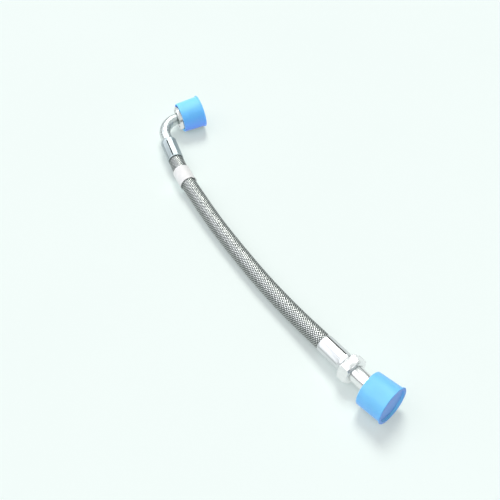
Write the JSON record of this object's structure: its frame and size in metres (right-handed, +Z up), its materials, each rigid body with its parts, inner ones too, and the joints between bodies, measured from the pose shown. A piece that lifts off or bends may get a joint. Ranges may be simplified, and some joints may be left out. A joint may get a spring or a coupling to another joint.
{
  "type": "turbo oil feed line",
  "caption": "Braided hose with crimped ferrules, a 90 degree swivel elbow on one end and a straight swivel end on the other, both closed by dust caps; feeds oil to a turbocharger.",
  "frame": {"origin": "centre of the bounding box in plan, on the floor the line lies on", "axes": "+X along the straight end, out of its nut; +Z up; the elbow's nut points towards +Y"},
  "size_m": [0.3564, 0.0966, 0.0304],
  "materials": {
    "stainless_braid": "fine woven wire, satin",
    "liner_plastic": "smooth, waxy",
    "crimped_steel": "bright plating, satin",
    "plated_fitting": "bright nickel plating",
    "plated_tube": "bright nickel plating",
    "plated_nut": "bright nickel plating",
    "spring_wire": "drawn wire",
    "blue_polyethylene": "semi-gloss moulded",
    "white_band": "matt film"
  },
  "bodies": {
    "line": {"hose_braid": "stainless_braid", "hose_liner": "liner_plastic", "id_band": "white_band", "elbow_ferrule": "crimped_steel", "straight_ferrule": "crimped_steel", "elbow_nipple": "plated_fitting", "elbow_nose": "plated_fitting", "straight_stem": "plated_fitting", "elbow_tube": "plated_tube"},
    "straight_nut": {"straight_swivel_nut": "plated_nut", "straight_thrust_wire": "spring_wire", "straight_cap": "blue_polyethylene"},
    "elbow_nut": {"elbow_swivel_nut": "plated_nut", "elbow_thrust_wire": "spring_wire", "elbow_cap": "blue_polyethylene"}
  },
  "joints": [
    {"name": "straight_swivel", "type": "hinge", "parent": "line", "child": "straight_nut", "pos_m": [0.16345, -0.03311, 0.0143], "axis": [0.9976, 0, 0.0698], "continuous": true},
    {"name": "elbow_swivel", "type": "hinge", "parent": "line", "child": "elbow_nut", "pos_m": [-0.16388, 0.02897, 0.01363], "axis": [0.2966, 0.9521, 0.0741], "continuous": true}
  ]
}
